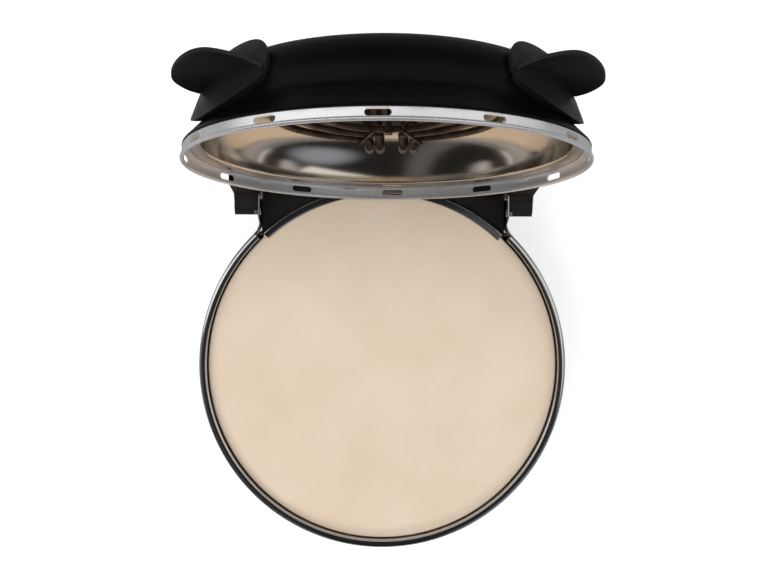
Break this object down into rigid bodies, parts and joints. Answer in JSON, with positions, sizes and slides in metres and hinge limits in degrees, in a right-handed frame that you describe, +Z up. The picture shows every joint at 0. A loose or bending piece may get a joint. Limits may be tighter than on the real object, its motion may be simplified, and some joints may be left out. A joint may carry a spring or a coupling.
{
  "type": "electric pizza maker",
  "caption": "Round clam-shell countertop oven with a ceramic baking stone, a domed lid on a rear hinge, winged lid handles and a thermostat knob.",
  "frame": {"origin": "on the table, in the plane of the foot pads, under the middle of the whole outline with the lid open, 41.2 mm behind the middle of the baking stone", "axes": "+X to the user's right, -Y towards the user at the front, +Z up; the lid is open at rest"},
  "size_m": [0.325, 0.4184, 0.4084],
  "materials": {
    "baking_stone": "matt, fine grained",
    "polished_steel": "polished",
    "black_enamel": "satin",
    "dome_paint": "satin",
    "zinc_plate": "dull",
    "screw_steel": "satin",
    "black_plastic": "satin",
    "handle_plastic": "satin",
    "rubber_pad": "matt",
    "element_tube": "satin, heat tinted",
    "white_ceramic": "matt",
    "mineral_wool": "rough",
    "copper_tube": "satin",
    "lead_sleeve": "satin",
    "red_lens": "gloss",
    "green_lens": "gloss",
    "brushed_band": "brushed along the ring",
    "mirror_steel": "near mirror"
  },
  "bodies": {
    "base": {"stone": "baking_stone", "rim_band": "polished_steel", "guard_strip": "polished_steel", "base_pan": "black_enamel", "bottom_plate": "zinc_plate", "plate_screws": "screw_steel", "feet": "black_plastic", "foot_pads": "rubber_pad", "foot_screws": "screw_steel", "foot_nuts": "screw_steel", "lower_reflector": "zinc_plate", "tray_posts": "screw_steel", "tray_screws": "screw_steel", "lower_element": "element_tube", "lower_clips": "screw_steel", "lower_terminals": "white_ceramic", "lower_insulation": "mineral_wool", "thermal_cutout": "zinc_plate", "sensor_tube": "copper_tube", "rear_housing": "black_plastic", "rear_cover": "black_plastic", "cover_screws": "screw_steel", "cord_gland": "black_plastic", "terminal_block": "white_ceramic", "base_leads": "lead_sleeve", "strap_screws": "screw_steel", "hinge_pins": "screw_steel", "hinge_washers": "screw_steel", "stop_studs": "polished_steel", "control_panel": "black_plastic", "thermostat": "white_ceramic", "thermostat_screws": "screw_steel", "power_lens": "red_lens", "ready_lens": "green_lens", "lamp_holders": "white_ceramic"},
    "lid": {"lid_dome": "dome_paint", "lid_band": "brushed_band", "lid_reflector": "mirror_steel", "lid_insulation": "mineral_wool", "outer_element": "element_tube", "inner_element": "element_tube", "element_brackets": "screw_steel", "centre_clip": "screw_steel", "upper_terminals": "white_ceramic", "terminal_tabs": "screw_steel", "lid_leads": "lead_sleeve", "hinge_arm_left": "black_plastic", "hinge_arm_right": "black_plastic", "arm_screws": "screw_steel", "handle_left": "handle_plastic", "handle_right": "handle_plastic", "handle_screws": "screw_steel"},
    "knob": {"thermostat_shaft": "screw_steel", "control_knob": "black_plastic"}
  },
  "joints": [
    {"name": "lid_hinge", "type": "hinge", "parent": "base", "child": "lid", "pos_m": [0, 0.11038, 0.099], "axis": [1, 0, 0], "range_deg": [0, 96]},
    {"name": "knob_turn", "type": "hinge", "parent": "base", "child": "knob", "pos_m": [0, -0.20122, 0.042], "axis": [0, 1, 0], "range_deg": [0, 270]}
  ]
}
